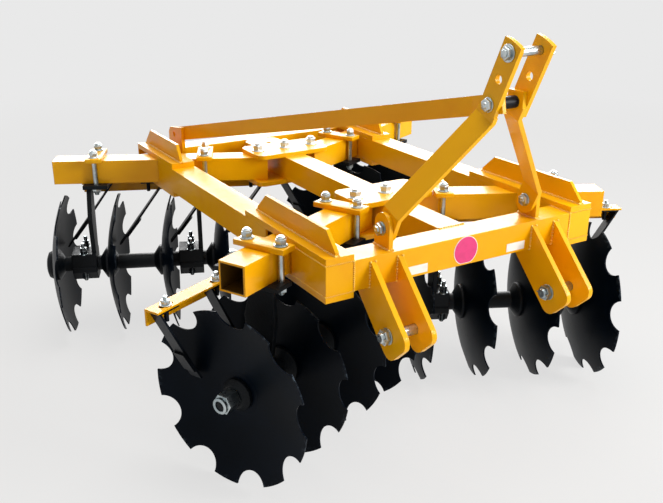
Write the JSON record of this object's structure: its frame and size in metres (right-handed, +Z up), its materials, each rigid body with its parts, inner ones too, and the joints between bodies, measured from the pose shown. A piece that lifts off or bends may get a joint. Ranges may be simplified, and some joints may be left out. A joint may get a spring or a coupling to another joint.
{
  "type": "mounted disc harrow",
  "caption": "Tractor-mounted disc harrow: square-tube frame with a three-point hitch mast, gangs of notched discs set in an X, scrapers and a tie bar.",
  "frame": {"origin": "on the ground under the middle of the machine's outer box", "axes": "+Z up, -Y towards the tractor, +X to the right when looking along +Y from the tractor end"},
  "size_m": [1.5748, 1.5799, 1.068],
  "materials": {
    "paint": "golden yellow gloss paint",
    "disc_steel": "black semi-gloss lacquer on steel",
    "black_steel": "black satin paint",
    "zinc": "bright zinc plate"
  },
  "bodies": {
    "frame": {"front_crossbeam": "paint", "rear_crossbeam": "paint", "left_side_beam": "paint", "right_side_beam": "paint", "centre_beam": "paint", "corner_front_left": "paint", "corner_front_right": "paint", "corner_rear_left": "paint", "corner_rear_right": "paint", "front_centre_plates": "paint", "rear_centre_plates": "paint", "gang_beam_front_left": "paint", "gang_beam_front_right": "paint", "gang_beam_rear_left": "paint", "gang_beam_rear_right": "paint", "clamps_front_left": "zinc", "clamps_front_right": "zinc", "clamps_rear_left": "zinc", "clamps_rear_right": "zinc", "hangers_front_left": "black_steel", "hangers_front_right": "black_steel", "hangers_rear_left": "black_steel", "hangers_rear_right": "black_steel", "scraper_bar_front_left": "paint", "scraper_bar_front_right": "paint", "scraper_bar_rear_left": "paint", "scraper_bar_rear_right": "paint", "scrapers_front_left": "black_steel", "scrapers_front_right": "black_steel", "scrapers_rear_left": "black_steel", "scrapers_rear_right": "black_steel", "mast_left": "paint", "mast_right": "paint", "mast_bolts": "zinc", "tie_bar": "paint", "hitch_left": "paint", "hitch_right": "paint", "hitch_pins": "zinc"},
    "gang_front_left": {"discs_front_left": "disc_steel", "spools_front_left": "black_steel", "shaft_front_left": "zinc"},
    "gang_front_right": {"discs_front_right": "disc_steel", "spools_front_right": "black_steel", "shaft_front_right": "zinc"},
    "gang_rear_left": {"discs_rear_left": "disc_steel", "spools_rear_left": "black_steel", "shaft_rear_left": "zinc"},
    "gang_rear_right": {"discs_rear_right": "disc_steel", "spools_rear_right": "black_steel", "shaft_rear_right": "zinc"}
  },
  "joints": [
    {"name": "gang_front_left_turn", "type": "hinge", "parent": "frame", "child": "gang_front_left", "pos_m": [-0.36652, -0.38271, 0.23], "axis": [0.9026, 0.4305, 0], "continuous": true},
    {"name": "gang_front_right_turn", "type": "hinge", "parent": "frame", "child": "gang_front_right", "pos_m": [0.36652, -0.38271, 0.23], "axis": [-0.9026, 0.4305, 0], "continuous": true},
    {"name": "gang_rear_left_turn", "type": "hinge", "parent": "frame", "child": "gang_rear_left", "pos_m": [-0.45151, 0.47079, 0.23], "axis": [0.9239, -0.3827, 0], "continuous": true},
    {"name": "gang_rear_right_turn", "type": "hinge", "parent": "frame", "child": "gang_rear_right", "pos_m": [0.45151, 0.47079, 0.23], "axis": [-0.9239, -0.3827, 0], "continuous": true}
  ]
}
